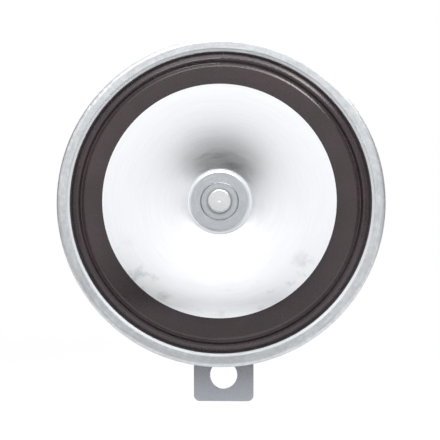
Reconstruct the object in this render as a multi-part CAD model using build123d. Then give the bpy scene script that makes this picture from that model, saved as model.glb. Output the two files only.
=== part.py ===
from build123d import *
from math import acos, cos, hypot, pi, radians, sin, tan
import os

# Disc horn with a strap bracket. Millimetres.
# Row frame: origin at the strap's bolt hole on its rear face, +X right seen from the front,
# +Y to the rear along the bolt hole, +Z up. The sounding disc faces -Y.
# Every y value below counts from the strap's rear face; every radius from the horn's axis.

# ---- strap bracket and what clamps it
BOLT_HOLE_TO_AXIS = 56.0
STRAP_WIDTH = 19.8
STRAP_THICKNESS = 2.0
STRAP_ABOVE_AXIS = 9.5
STRAP_BELOW_HOLE = 8.7
STRAP_CORNER = 2.0
BOLT_HOLE_R = 4.5
STUD_R = 3.0
STUD_HOLE_PLAY = 0.25
STUD_PAST_NUT = 1.4
STUD_END_CHAMFER = 0.5
SPACER_R = 10.7
SPACER_THICKNESS = 2.5
WASHER_SECTION = 1.6
WASHER_R = 5.4
WASHER_SPLIT = 0.9
WASHER_SPLIT_ANGLE = 140.0
NUT_FLATS = 10.0
NUT_HEIGHT = 5.0
NUT_TURN = 11.0
NUT_CHAMFER = 0.4
THREAD_PLAY = 0.02

# ---- drawn steel housing
HOUSING_WALL = 1.5
HUB_TOP_R = 14.8
HUB_BEVEL_WIDTH = 2.8
HUB_BEVEL_DROP = 1.8
HUB_WALL_SPREAD = 1.1
HUB_HEIGHT = 5.0
MOUTH_INSET = 0.3
WALL_TAPER = 3.0
WALL_KNEE_DEPTH = 4.5
SHOULDER_WIDTH = 1.5
LEDGE_WIDTH = 1.7
BACK_LEDGE = 0.5
BACK_TO_RIM_FRONT = 24.0
RIB_ANGLES = (7.0, 113.0, 255.0)
RIB_WIDTH = 9.4
RIB_END_MARGIN = 2.1
RIB_HEIGHT = 0.8
RIB_DRAFT = 45.0

# ---- rolled rim, its seal and the diaphragm
RIM_R = 50.0
RIM_WALL = 1.0
RIM_FACE_WIDTH = 4.2
RIM_BEVEL = 1.0
RIM_BEVEL_DROP = 0.4
RIM_REAR_LIP = 1.8
RIM_ROLL_R = 1.6
SEAL_THICKNESS = 0.5
SEAL_FRONT_WIDTH = 2.3
SEAL_REAR_SHOWING = 0.6
DIAPHRAGM_THICKNESS = 0.5
DIAPHRAGM_EDGE_PLAY = 0.1
CREST_WIDTH = 2.4
CREST_RISE = 1.7
GROOVE_WIDTH = 1.15
GROOVE_DEPTH = 0.8
FLAT_RISE = 1.8

# ---- what moves with the diaphragm
ARMATURE_R = 5.6
COLLAR_R = 12.0
COLLAR_THICKNESS = 1.5
CONTACT_MARGIN = 0.2
SHANK_R = 3.0
HEAD_R = 3.5
HEAD_HEIGHT = 1.0
REAR_WASHER_R = 9.0
REAR_WASHER_THICKNESS = 1.0
MIDDLE_WASHER_R = 9.5
MIDDLE_WASHER_THICKNESS = 1.0
DISC_R = 34.6
DISC_THICKNESS = 1.0
DISC_FLAT_R = 9.6
DISC_DISH = 5.0
FRONT_WASHER_MARGIN = 0.5
FRONT_WASHER_THICKNESS = 1.2
FRONT_WASHER_STEP_R = 5.8
FRONT_WASHER_STEP = 0.35
STROKE = 0.4
AIR_MARGIN = 0.4

# ---- magnet
CORE_R = 6.0
CORE_FLANGE_MARGIN = 2.3
CORE_FLANGE_THICKNESS = 2.0
CORE_LENGTH = 7.0
BOBBIN_PLAY = 0.02
BOBBIN_TUBE = 0.8
BOBBIN_PAST_HUB = 0.2
BOBBIN_FLANGE_THICKNESS = 1.0
WINDING_MARGIN = 0.6
WINDING_LENGTH = 10.0

# ---- contact breaker
SCREW_Z = 13.6
SCREW_SHARE = 0.205
SHELF_FROM_WALL = 8.7
SHELF_LENGTH = 7.6
CONTACT_WIDTH = 9.0
BRACKET_SHEET = 1.2
BRACKET_FOOT = 6.6
SHELF_TO_BOBBIN = 0.4
INSULATOR_THICKNESS = 0.6
MOVING_ARM_THICKNESS = 0.3
FIXED_ARM_THICKNESS = 0.8
TIP_R = 1.8
TIP_HEIGHT = 0.6
TIP_TO_SCREW = 8.0
FIXED_ARM_PAST_TIP = 2.5
MOVING_ARM_PAST_TIP = 10.5
ARM_SCREW_CLEARANCE = 3.2
CONTACT_RIVET_R = 0.9
CONTACT_RIVET_HEAD_R = 1.6
CONTACT_RIVET_HEAD = 0.6
CONTACT_RIVET_SPACING = 4.4

# ---- adjusting screw
SCREW_R = 2.0
SCREW_PLAY = 0.05
SCREW_SLOT = 0.7
SCREW_SLOT_DEPTH = 0.9
SCREW_SUNK = 0.5
SCREW_TIP_GAP = 0.05
BUSH_R = 4.1
BUSH_BODY_R = 2.9
BUSH_MOUTH_R = 2.75
BUSH_HEAD = 1.6
BUSH_NOSE = 1.2

# ---- terminals
TERMINAL_ANGLES = (160.4, 222.9)
TERMINAL_FROM_HUB = 8.2
RING_R = 6.45
RING_BORE_R = 4.45
RING_HEIGHT = 2.6
RING_FLOOR = 0.9
BRIDGE_WIDTH = 2.8
BRIDGE_HEIGHT = 1.0
PAD_WIDTH = 6.5
PAD_LENGTH = 9.1
PAD_HEIGHT = 1.5
NECK_R = 3.4
NECK_PLAY = 0.05
TERMINAL_PLAY = 0.12
BASE_THICKNESS = 0.5
BASE_RIM = 0.5
BASE_RIM_HEIGHT = 0.9
BLADE_WIDTH = 6.3
BLADE_THICKNESS = 0.8
BLADE_LENGTH = 8.0
BLADE_NOSE = 1.0
BLADE_EYE_R = 0.8
RIVET_OFFSET = 2.05
RIVET_R = 1.0
RIVET_BORE_R = 0.55
RIVET_HEAD_R = 1.5
RIVET_HEAD = 0.5
INNER_PLATE_THICKNESS = 1.0
INNER_PLATE_R = 5.6

# ---- leads and resistor
LEAD_R = 0.55
LEAD_LIFT = 2.4
LEAD_END_PLAY = 0.12
LEAD_START_ANGLE = 62.0
LEAD_END_ANGLE = 70.0
LEAD_PAST_BREAKER = 2.5
EARTH_LEAD_BELOW_BOBBIN = 6.0
EARTH_LEAD_BEND = 6.0
EARTH_LEAD_END_Z = -4.0
EARTH_LEAD_PAST_SHELF = 1.0
RESISTOR_PLAY = 0.3
RESISTOR_R = 2.2
RESISTOR_LENGTH = 11.0
RESISTOR_X = -4.0
RESISTOR_FROM_HUB = 8.3

# ---- derived radii
RIM_BORE_R = RIM_R - RIM_WALL
RIM_MOUTH_R = RIM_R - RIM_FACE_WIDTH
RIM_REAR_LIP_R = RIM_R - RIM_REAR_LIP
FLANGE_R = RIM_BORE_R - SEAL_THICKNESS
SEAL_REAR_R = RIM_REAR_LIP_R - SEAL_REAR_SHOWING
SEAL_FRONT_R = FLANGE_R - SEAL_FRONT_WIDTH
WALL_MOUTH_R = SEAL_REAR_R - MOUTH_INSET
WALL_KNEE_R = WALL_MOUTH_R - WALL_TAPER
SHOULDER_R = WALL_KNEE_R - SHOULDER_WIDTH
BACK_FACE_R = SHOULDER_R - LEDGE_WIDTH
RIB_REACH = BACK_FACE_R - RIB_END_MARGIN
CREST_R = RIM_MOUTH_R - CREST_WIDTH
GROOVE_R = CREST_R - GROOVE_WIDTH
FLAT_R = GROOVE_R - GROOVE_WIDTH
HUB_EDGE_R = HUB_TOP_R + HUB_BEVEL_WIDTH
HUB_FOOT_R = HUB_EDGE_R + HUB_WALL_SPREAD
CORE_FLANGE_R = HUB_TOP_R - CORE_FLANGE_MARGIN
BOBBIN_FLANGE_R = HUB_TOP_R + BOBBIN_PAST_HUB
WINDING_R = BOBBIN_FLANGE_R - WINDING_MARGIN
TERMINAL_RADIUS = HUB_FOOT_R + TERMINAL_FROM_HUB
STUD_HOLE_R = STUD_R + STUD_HOLE_PLAY
FRONT_WASHER_R = DISC_FLAT_R - FRONT_WASHER_MARGIN

# ---- derived places across the axis; the adjusting screw sits a share of the way from hub to breaker
CONTACT_SHELF_X = BACK_FACE_R - SHELF_FROM_WALL
SCREW_X = HUB_FOOT_R + SCREW_SHARE * (CONTACT_SHELF_X - HUB_FOOT_R)
TIP_X = SCREW_X - TIP_TO_SCREW
FIXED_ARM_END_X = TIP_X - FIXED_ARM_PAST_TIP
MOVING_ARM_END_X = TIP_X - MOVING_ARM_PAST_TIP
RESISTOR_Z = -HUB_FOOT_R - RESISTOR_FROM_HUB

# ---- derived stations along y, front is negative; the moving group clears both ends of its stroke
AIR_GAP = STROKE + AIR_MARGIN
COLLAR_TO_CONTACT = STROKE + CONTACT_MARGIN
STRAP_FRONT = -STRAP_THICKNESS
HUB_TOP = STRAP_FRONT - SPACER_THICKNESS
BACK_FACE = HUB_TOP - HUB_HEIGHT
INNER_FACE = BACK_FACE - HOUSING_WALL
RIM_FRONT = BACK_FACE - BACK_TO_RIM_FRONT
DIAPHRAGM_SEAT = RIM_FRONT + RIM_WALL
FLANGE_FRONT = DIAPHRAGM_SEAT + DIAPHRAGM_THICKNESS + SEAL_THICKNESS
FLANGE_REAR = FLANGE_FRONT + HOUSING_WALL
RIM_REAR = FLANGE_REAR + SEAL_THICKNESS + RIM_WALL
FLAT_FRONT = DIAPHRAGM_SEAT - FLAT_RISE
FLAT_REAR = FLAT_FRONT + DIAPHRAGM_THICKNESS
DISC_BACK = FLAT_FRONT - MIDDLE_WASHER_THICKNESS
DISC_FRONT = DISC_BACK - DISC_THICKNESS
STACK_FRONT = DISC_FRONT - FRONT_WASHER_THICKNESS
CORE_SEAT = HUB_TOP - HOUSING_WALL
CORE_FRONT_OF_FLANGE = CORE_SEAT - CORE_FLANGE_THICKNESS
CORE_FACE = CORE_FRONT_OF_FLANGE - CORE_LENGTH
BOBBIN_FRONT = CORE_FRONT_OF_FLANGE - WINDING_LENGTH - 2 * BOBBIN_FLANGE_THICKNESS
ARMATURE_REAR = CORE_FACE - AIR_GAP
ARMATURE_FRONT = FLAT_REAR + REAR_WASHER_THICKNESS
SHELF_REAR = BOBBIN_FRONT - SHELF_TO_BOBBIN + BRACKET_SHEET
SHELF_FRONT = SHELF_REAR - BRACKET_SHEET
MOVING_ARM_REAR = SHELF_FRONT - INSULATOR_THICKNESS
MOVING_ARM_FRONT = MOVING_ARM_REAR - MOVING_ARM_THICKNESS
FIXED_ARM_REAR = MOVING_ARM_FRONT - 2 * TIP_HEIGHT
FIXED_ARM_FRONT = FIXED_ARM_REAR - FIXED_ARM_THICKNESS
STACK_TOP = FIXED_ARM_FRONT - INSULATOR_THICKNESS
COLLAR_REAR = MOVING_ARM_FRONT - COLLAR_TO_CONTACT
COLLAR_FRONT = COLLAR_REAR - COLLAR_THICKNESS
TERMINAL_SEAT = BACK_FACE + RING_FLOOR
NECK_END = INNER_FACE - INNER_PLATE_THICKNESS
SCREW_HEAD = BACK_FACE + BUSH_HEAD - SCREW_SUNK


# ---- small tools
def rounded_face(corners):
    """Closed profile through (radius, y, rounding) corners, each rounding kept within its edges."""
    count = len(corners)
    joints = []
    for index in range(count):
        x, y, rounding = corners[index]
        px, py, _ = corners[index - 1]
        nx, ny, _ = corners[(index + 1) % count]
        before = hypot(px - x, py - y)
        after = hypot(nx - x, ny - y)
        ux, uy = (px - x) / before, (py - y) / before
        vx, vy = (nx - x) / after, (ny - y) / after
        angle = acos(max(-1.0, min(1.0, ux * vx + uy * vy)))
        if rounding <= 0.0 or angle > pi - 0.02 or angle < 0.05:
            joints.append(((x, y), None, (x, y)))
            continue
        setback = min(rounding / tan(angle / 2), 0.45 * before, 0.45 * after)
        radius = setback * tan(angle / 2)
        size = hypot(ux + vx, uy + vy)
        bx, by = (ux + vx) / size, (uy + vy) / size
        reach = radius / sin(angle / 2) - radius
        start = (x + ux * setback, y + uy * setback)
        end = (x + vx * setback, y + vy * setback)
        joints.append((start, (x + bx * reach, y + by * reach), end))
    edges = []
    for index in range(count):
        start, middle, end = joints[index]
        if middle is not None:
            edges.append(ThreePointArc(start, middle, end))
        edges.append(Line(end, joints[(index + 1) % count][0]))
    return make_face(edges)


def turned(corners, x=0.0, z=0.0):
    """Body of revolution about a line along y, at (x, z) from the horn's axis."""
    return Pos(x, 0, BOLT_HOLE_TO_AXIS + z) * revolve(rounded_face(corners), Axis.Y)


def sheet(path, thickness):
    """Closed corners of a bent sheet: its outer path, then the same path set in by the thickness."""
    normals = []
    for (ax, ay, _), (bx, by, _) in zip(path, path[1:]):
        length = hypot(bx - ax, by - ay)
        normals.append(((by - ay) / length, -(bx - ax) / length))
    inner = []
    for index, (x, y, rounding) in enumerate(path):
        ax, ay = normals[max(index - 1, 0)]
        bx, by = normals[min(index, len(normals) - 1)]
        scale = thickness / (1 + ax * bx + ay * by)
        bend = ax * by - ay * bx
        inner_rounding = 0.0
        if rounding > 0.0:
            inner_rounding = max(rounding + (thickness if bend > 0 else -thickness), 0.15)
        inner.append((x + (ax + bx) * scale, y + (ay + by) * scale, inner_rounding))
    return list(path) + inner[::-1]


def rod(radius, front, rear, x=0.0, z=0.0):
    """Round bar along y between two stations, at (x, z) from the horn's axis."""
    place = Pos(x, (front + rear) / 2, BOLT_HOLE_TO_AXIS + z)
    return place * Rot(90, 0, 0) * Cylinder(radius, abs(rear - front))


def block(width, height, front, rear, x=0.0, z=0.0, angle=0.0):
    """Box between two y stations, at (x, z) from the horn's axis, turned from +x towards +z."""
    place = Pos(x, (front + rear) / 2, BOLT_HOLE_TO_AXIS + z)
    return place * Rot(0, -angle, 0) * Box(width, abs(rear - front), height)


def polar(radius, angle):
    """(x, z) at a radius and an angle from +x towards +z."""
    return radius * cos(radians(angle)), radius * sin(radians(angle))


def wire_run(points):
    """Insulated lead through points given as (x, y, z from the horn's axis)."""
    moved = [(x, y, BOLT_HOLE_TO_AXIS + z) for x, y, z in points]
    path = FilletPolyline(*moved, radius=1.2)
    start = Plane(origin=path @ 0, z_dir=path % 0)
    return sweep(start * Circle(LEAD_R), path=path)


def save(name, shape):
    """Write one node as a STEP file."""
    shape.label = name
    export_step(shape, "parts/" + name + ".step")


# ---- housing and rim
def back_plane(y):
    """Sketch plane square to y; its local y axis runs down."""
    return Plane(origin=(0, y, BOLT_HOLE_TO_AXIS), x_dir=(1, 0, 0), z_dir=(0, 1, 0))


def finger(angle, width, start, reach, y, height, draft):
    """Raised finger with a full-round tip, growing to the rear from y."""
    middle = (start + reach - width / 2) / 2
    outline = Pos(middle, 0) * Rectangle(reach - width / 2 - start, width)
    outline += Pos(reach - width / 2, 0) * Circle(width / 2)
    return extrude(back_plane(y) * (Rot(0, 0, -angle) * outline), height, taper=draft)


def rear_housing():
    path = [
        (STUD_HOLE_R, HUB_TOP, 0),
        (HUB_TOP_R, HUB_TOP, 1.0),
        (HUB_EDGE_R, HUB_TOP - HUB_BEVEL_DROP, 1.2),
        (HUB_FOOT_R, BACK_FACE, 1.0),
        (BACK_FACE_R, BACK_FACE, 0.2),
        (BACK_FACE_R + BACK_LEDGE, BACK_FACE - BACK_LEDGE, 0.2),
        (SHOULDER_R, BACK_FACE - BACK_LEDGE, 1.4),
        (WALL_KNEE_R, BACK_FACE - WALL_KNEE_DEPTH, 2.5),
        (WALL_MOUTH_R, FLANGE_REAR, MOUTH_INSET),
        (FLANGE_R, FLANGE_REAR, 0),
    ]
    shell = turned(sheet(path, HOUSING_WALL))
    inset = HOUSING_WALL * 0.6
    for angle in RIB_ANGLES:
        shell += finger(angle, RIB_WIDTH, HUB_FOOT_R - 1.0, RIB_REACH, BACK_FACE, RIB_HEIGHT, RIB_DRAFT)
        hollow = RIB_WIDTH - 2 * inset
        shell -= finger(angle, hollow, HUB_FOOT_R + 2.0, RIB_REACH - inset, INNER_FACE, RIB_HEIGHT, RIB_DRAFT)
    shell -= rod(BUSH_BODY_R, INNER_FACE - 1, BACK_FACE + 2, SCREW_X, SCREW_Z)
    for x, z in terminal_places():
        shell -= rod(NECK_R + NECK_PLAY, INNER_FACE - 1, BACK_FACE + 2, x, z)
    return shell


def rim_ring():
    return turned([
        (RIM_MOUTH_R, DIAPHRAGM_SEAT, 0),
        (RIM_MOUTH_R, RIM_FRONT + RIM_BEVEL_DROP, 0.15),
        (RIM_MOUTH_R + RIM_BEVEL, RIM_FRONT, 0.5),
        (RIM_R, RIM_FRONT, RIM_ROLL_R),
        (RIM_R, RIM_REAR, RIM_ROLL_R),
        (RIM_REAR_LIP_R, RIM_REAR, 0.3),
        (RIM_REAR_LIP_R, RIM_REAR - RIM_WALL, 0),
        (RIM_BORE_R, RIM_REAR - RIM_WALL, 0),
        (RIM_BORE_R, DIAPHRAGM_SEAT, 0),
    ])


def rim_seal():
    return turned([
        (SEAL_FRONT_R, FLANGE_FRONT - SEAL_THICKNESS, 0),
        (RIM_BORE_R, FLANGE_FRONT - SEAL_THICKNESS, 0),
        (RIM_BORE_R, FLANGE_REAR + SEAL_THICKNESS, 0),
        (SEAL_REAR_R, FLANGE_REAR + SEAL_THICKNESS, 0.15),
        (SEAL_REAR_R, FLANGE_REAR, 0),
        (FLANGE_R, FLANGE_REAR, 0),
        (FLANGE_R, FLANGE_FRONT, 0),
        (SEAL_FRONT_R, FLANGE_FRONT, 0),
    ])


def diaphragm():
    path = [
        (SHANK_R + THREAD_PLAY, FLAT_FRONT, 0),
        (FLAT_R, FLAT_FRONT, 0.5),
        (GROOVE_R, DIAPHRAGM_SEAT - CREST_RISE + GROOVE_DEPTH, 0.35),
        (CREST_R, DIAPHRAGM_SEAT - CREST_RISE, 0.6),
        (RIM_MOUTH_R - 0.4, DIAPHRAGM_SEAT, 0.6),
        (RIM_BORE_R - DIAPHRAGM_EDGE_PLAY, DIAPHRAGM_SEAT, 0),
    ]
    lower = [(r, y + DIAPHRAGM_THICKNESS, rounding) for r, y, rounding in path]
    return turned(path + lower[::-1])


# ---- moving group
def tone_disc():
    """Flat middle, then one arc that meets the edge level."""
    bore = SHANK_R + THREAD_PLAY
    face = []
    for level in (DISC_FRONT, DISC_BACK):
        inner = (DISC_FLAT_R, level)
        edge = (DISC_R, level - DISC_DISH)
        face.append(Line((bore, level), inner))
        face.append(TangentArc(edge, inner, tangent=(-1, 0)))
    face.append(Line((bore, DISC_FRONT), (bore, DISC_BACK)))
    face.append(Line((DISC_R, DISC_FRONT - DISC_DISH), (DISC_R, DISC_BACK - DISC_DISH)))
    return Pos(0, 0, BOLT_HOLE_TO_AXIS) * revolve(make_face(face), Axis.Y)


def front_washer():
    bore = SHANK_R + THREAD_PLAY
    return turned([
        (bore, DISC_FRONT, 0),
        (FRONT_WASHER_R, DISC_FRONT, 0),
        (FRONT_WASHER_R, STACK_FRONT, 0.9),
        (FRONT_WASHER_STEP_R, STACK_FRONT, 0),
        (FRONT_WASHER_STEP_R - FRONT_WASHER_STEP, STACK_FRONT + FRONT_WASHER_STEP, 0),
        (HEAD_R, STACK_FRONT + FRONT_WASHER_STEP, 0),
        (HEAD_R, STACK_FRONT, 0),
        (bore, STACK_FRONT, 0),
    ])


def plain_washer(outer, front, thickness):
    bore = SHANK_R + THREAD_PLAY
    return turned([
        (bore, front, 0),
        (outer, front, 0.2),
        (outer, front + thickness, 0.2),
        (bore, front + thickness, 0),
    ])


def armature():
    return turned([
        (0, ARMATURE_REAR, 0),
        (ARMATURE_R, ARMATURE_REAR, 0.4),
        (ARMATURE_R, COLLAR_REAR, 0),
        (COLLAR_R, COLLAR_REAR, 0.3),
        (COLLAR_R, COLLAR_FRONT, 0.3),
        (ARMATURE_R, COLLAR_FRONT, 0),
        (ARMATURE_R, ARMATURE_FRONT, 0),
        (SHANK_R, ARMATURE_FRONT, 0),
        (SHANK_R, STACK_FRONT, 0),
        (HEAD_R, STACK_FRONT, 0),
        (HEAD_R, STACK_FRONT - HEAD_HEIGHT, 0.6),
        (0, STACK_FRONT - HEAD_HEIGHT * 1.15, 0),
    ])


# ---- magnet
def stud_end():
    return WASHER_SECTION + NUT_HEIGHT + STUD_PAST_NUT


def pole_core():
    return turned([
        (0, CORE_FACE, 0),
        (CORE_R, CORE_FACE, 0.3),
        (CORE_R, CORE_FRONT_OF_FLANGE, 0),
        (CORE_FLANGE_R, CORE_FRONT_OF_FLANGE, 0.3),
        (CORE_FLANGE_R, CORE_SEAT, 0.3),
        (STUD_R, CORE_SEAT, 0),
        (STUD_R, stud_end() - STUD_END_CHAMFER, 0),
        (STUD_R - STUD_END_CHAMFER, stud_end(), 0),
        (0, stud_end(), 0),
    ])


def coil_bobbin():
    bore = CORE_R + BOBBIN_PLAY
    tube = bore + BOBBIN_TUBE
    return turned([
        (bore, CORE_FRONT_OF_FLANGE, 0),
        (BOBBIN_FLANGE_R, CORE_FRONT_OF_FLANGE, 0.2),
        (BOBBIN_FLANGE_R, CORE_FRONT_OF_FLANGE - BOBBIN_FLANGE_THICKNESS, 0.2),
        (tube, CORE_FRONT_OF_FLANGE - BOBBIN_FLANGE_THICKNESS, 0),
        (tube, BOBBIN_FRONT + BOBBIN_FLANGE_THICKNESS, 0),
        (BOBBIN_FLANGE_R, BOBBIN_FRONT + BOBBIN_FLANGE_THICKNESS, 0.2),
        (BOBBIN_FLANGE_R, BOBBIN_FRONT, 0.2),
        (bore, BOBBIN_FRONT, 0),
    ])


def coil_winding():
    tube = CORE_R + BOBBIN_PLAY + BOBBIN_TUBE
    front = BOBBIN_FRONT + BOBBIN_FLANGE_THICKNESS
    rear = CORE_FRONT_OF_FLANGE - BOBBIN_FLANGE_THICKNESS
    return turned([(tube, front, 0), (WINDING_R, front, 0), (WINDING_R, rear, 0), (tube, rear, 0)])


# ---- contact breaker
def rivet_places():
    half = CONTACT_RIVET_SPACING / 2
    return [(CONTACT_SHELF_X, SCREW_Z - half), (CONTACT_SHELF_X, SCREW_Z + half)]


def shelf_plate(front, rear, first_x=None):
    """Plate over the shelf, reaching inwards to first_x when that is given."""
    outer = CONTACT_SHELF_X + SHELF_LENGTH / 2
    inner = CONTACT_SHELF_X - SHELF_LENGTH / 2 if first_x is None else first_x
    plate = block(outer - inner, CONTACT_WIDTH, front, rear, (outer + inner) / 2, SCREW_Z)
    for x, z in rivet_places():
        plate -= rod(CONTACT_RIVET_R, front - 1, rear + 1, x, z)
    return plate


def contact_bracket():
    inner = CONTACT_SHELF_X - SHELF_LENGTH / 2
    shelf = shelf_plate(SHELF_FRONT, SHELF_REAR)
    web = block(BRACKET_SHEET, CONTACT_WIDTH, SHELF_FRONT, INNER_FACE, inner + BRACKET_SHEET / 2, SCREW_Z)
    foot_front = INNER_FACE - BRACKET_SHEET
    foot = block(BRACKET_FOOT, CONTACT_WIDTH, foot_front, INNER_FACE, inner + BRACKET_FOOT / 2, SCREW_Z)
    return shelf + web + foot


def moving_contact_arm():
    arm = shelf_plate(MOVING_ARM_FRONT, MOVING_ARM_REAR, MOVING_ARM_END_X)
    return arm - rod(ARM_SCREW_CLEARANCE, MOVING_ARM_FRONT - 1, MOVING_ARM_REAR + 1, SCREW_X, SCREW_Z)


def contact_tip(front, rear):
    return rod(TIP_R, front, rear, TIP_X, SCREW_Z)


def contact_rivets():
    rivets = []
    for x, z in rivet_places():
        shank = rod(CONTACT_RIVET_R, STACK_TOP, SHELF_REAR, x, z)
        front = rod(CONTACT_RIVET_HEAD_R, STACK_TOP - CONTACT_RIVET_HEAD, STACK_TOP, x, z)
        rear = rod(CONTACT_RIVET_HEAD_R, SHELF_REAR, SHELF_REAR + CONTACT_RIVET_HEAD, x, z)
        rivets.append(shank + front + rear)
    return Compound(children=rivets)


# ---- adjusting screw
def screw_bush():
    bore = SCREW_R + SCREW_PLAY
    return turned([
        (bore, INNER_FACE - BUSH_NOSE, 0),
        (BUSH_BODY_R, INNER_FACE - BUSH_NOSE, 0.3),
        (BUSH_BODY_R, BACK_FACE, 0),
        (BUSH_R, BACK_FACE, 0),
        (BUSH_R, BACK_FACE + BUSH_HEAD, 0.5),
        (BUSH_MOUTH_R, BACK_FACE + BUSH_HEAD, 0.1),
        (bore, SCREW_HEAD - 1.6, 0),
    ], SCREW_X, SCREW_Z)


def adjusting_screw():
    tip = FIXED_ARM_REAR + SCREW_TIP_GAP
    screw = turned([
        (0, tip, 0),
        (SCREW_R * 0.7, tip, 0),
        (SCREW_R, tip + SCREW_R * 0.5, 0),
        (SCREW_R, SCREW_HEAD, 0.3),
        (0, SCREW_HEAD, 0),
    ], SCREW_X, SCREW_Z)
    slot = block(SCREW_SLOT, 3 * SCREW_R, SCREW_HEAD - SCREW_SLOT_DEPTH, SCREW_HEAD + 1, SCREW_X, SCREW_Z)
    return screw - slot


# ---- terminals
def terminal_places():
    return [polar(TERMINAL_RADIUS, angle) for angle in TERMINAL_ANGLES]


def terminal_line():
    """Middle, length and direction of the line from one terminal to the other."""
    (ax, az), (bx, bz) = terminal_places()
    length = hypot(bx - ax, bz - az)
    return (ax + bx) / 2, (az + bz) / 2, length, ((bx - ax) / length, (bz - az) / length)


def blade_angle():
    """Turn that lays a block's x axis square to the line between the terminals."""
    _, _, _, (dx, dz) = terminal_line()
    turn = acos(max(-1.0, min(1.0, abs(dz)))) * 180 / pi
    return turn if dx * dz < 0 else -turn


def terminal_insulator():
    mx, mz, length, _ = terminal_line()
    angle = blade_angle()
    bridge = length - RING_R - RING_BORE_R
    body = block(BRIDGE_WIDTH, bridge, BACK_FACE, BACK_FACE + BRIDGE_HEIGHT, mx, mz, angle)
    body += block(PAD_WIDTH, PAD_LENGTH, BACK_FACE, BACK_FACE + PAD_HEIGHT, mx, mz, angle)
    for x, z in terminal_places():
        body += turned([
            (0, NECK_END, 0),
            (NECK_R, NECK_END, 0.2),
            (NECK_R, BACK_FACE, 0),
            (RING_R, BACK_FACE, 0),
            (RING_R, BACK_FACE + RING_HEIGHT, 0.7),
            (RING_BORE_R, BACK_FACE + RING_HEIGHT, 0.3),
            (RING_BORE_R, TERMINAL_SEAT, 0),
            (0, TERMINAL_SEAT, 0),
        ], x, z)
    for x, z in rivet_centres():
        body -= rod(RIVET_R, NECK_END - 1, TERMINAL_SEAT + 1, x, z)
    return body


def rivet_centres():
    """Rivets stand beside the blades, on the side away from the horn's axis line."""
    angle = blade_angle()
    dx, dz = polar(RIVET_OFFSET, angle)
    return [(x + dx, z + dz) for x, z in terminal_places()]


def terminal(index):
    x, z = terminal_places()[index]
    rx, rz = rivet_centres()[index]
    angle = blade_angle()
    outer = RING_BORE_R - TERMINAL_PLAY
    base = turned([
        (0, TERMINAL_SEAT, 0),
        (outer, TERMINAL_SEAT, 0),
        (outer, TERMINAL_SEAT + BASE_RIM_HEIGHT, 0.2),
        (outer - BASE_RIM, TERMINAL_SEAT + BASE_RIM_HEIGHT, 0.2),
        (outer - BASE_RIM, TERMINAL_SEAT + BASE_THICKNESS, 0.1),
        (0, TERMINAL_SEAT + BASE_THICKNESS, 0),
    ], x, z)
    base -= rod(RIVET_R, TERMINAL_SEAT - 1, TERMINAL_SEAT + 3, rx, rz)
    foot = TERMINAL_SEAT + BASE_THICKNESS * 0.5
    root = TERMINAL_SEAT + BASE_THICKNESS
    tab = Rectangle(BLADE_WIDTH, root + BLADE_LENGTH - foot, align=(Align.CENTER, Align.MIN))
    tab = chamfer(tab.vertices().group_by(Axis.Y)[-1], BLADE_NOSE)
    tab -= Pos(0, root + BLADE_LENGTH - foot - 3.0) * Circle(BLADE_EYE_R)
    upright = Plane(origin=(0, 0, 0), x_dir=(0, 0, -1), z_dir=(1, 0, 0))
    blade = extrude(upright * tab, BLADE_THICKNESS / 2, both=True)
    blade = Pos(x, foot, BOLT_HOLE_TO_AXIS + z) * Rot(0, -angle, 0) * blade
    return base + blade


def terminal_rivets():
    seat = TERMINAL_SEAT + BASE_THICKNESS
    end = NECK_END
    rivets = []
    for x, z in rivet_centres():
        rivets.append(turned([
            (RIVET_BORE_R, end - RIVET_HEAD, 0),
            (RIVET_HEAD_R, end - RIVET_HEAD, 0.2),
            (RIVET_HEAD_R, end, 0),
            (RIVET_R, end, 0),
            (RIVET_R, seat, 0),
            (RIVET_HEAD_R, seat, 0),
            (RIVET_HEAD_R, seat + RIVET_HEAD, 0.3),
            (RIVET_BORE_R, seat + RIVET_HEAD, 0.15),
        ], x, z))
    return Compound(children=rivets)


def inner_insulator():
    mx, mz, length, _ = terminal_line()
    plate = block(BRIDGE_WIDTH * 2, length, NECK_END, INNER_FACE, mx, mz, blade_angle())
    for x, z in terminal_places():
        plate += rod(INNER_PLATE_R, NECK_END, INNER_FACE, x, z)
    for x, z in terminal_places():
        plate -= rod(NECK_R + NECK_PLAY, NECK_END - 1, INNER_FACE + 1, x, z)
    return plate


# ---- leads and resistor
def rivet_end(index):
    x, z = rivet_centres()[index]
    return x, NECK_END - RIVET_HEAD - LEAD_END_PLAY, z


def supply_lead():
    x, y, z = rivet_end(0)
    level = y - LEAD_LIFT
    coil_x = -BOBBIN_FLANGE_R * 0.7
    coil_z = BOBBIN_FLANGE_R * 0.95
    return wire_run([(x, y, z), (x, level, z), (coil_x, level, coil_z), (coil_x * 0.7, level, coil_z * 0.9 + 3.0)])


def breaker_lead():
    start_x, start_z = polar(WINDING_R + LEAD_R + LEAD_END_PLAY, LEAD_START_ANGLE)
    level = (CORE_FRONT_OF_FLANGE + BOBBIN_FRONT) / 2
    edge = ARM_SCREW_CLEARANCE + LEAD_R + LEAD_END_PLAY
    beside_x, beside_z = polar(edge, LEAD_END_ANGLE)
    end_x = SCREW_X + beside_x
    end_z = SCREW_Z + beside_z
    bend_z = SCREW_Z + CONTACT_WIDTH / 2 + LEAD_PAST_BREAKER
    return wire_run([
        (start_x, level, start_z),
        (SCREW_X - 1.0, level, bend_z),
        (end_x, level, end_z),
        (end_x, MOVING_ARM_REAR, end_z),
    ])


def earth_lead():
    x, y, z = rivet_end(1)
    level = y - LEAD_LIFT
    low = -BOBBIN_FLANGE_R - EARTH_LEAD_BELOW_BOBBIN
    side = CONTACT_SHELF_X + EARTH_LEAD_PAST_SHELF
    return wire_run([
        (x, y, z),
        (x, level, z),
        (x + EARTH_LEAD_BEND, level, low),
        (side - EARTH_LEAD_BEND, level, low),
        (side, level, EARTH_LEAD_END_Z),
    ])


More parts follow.
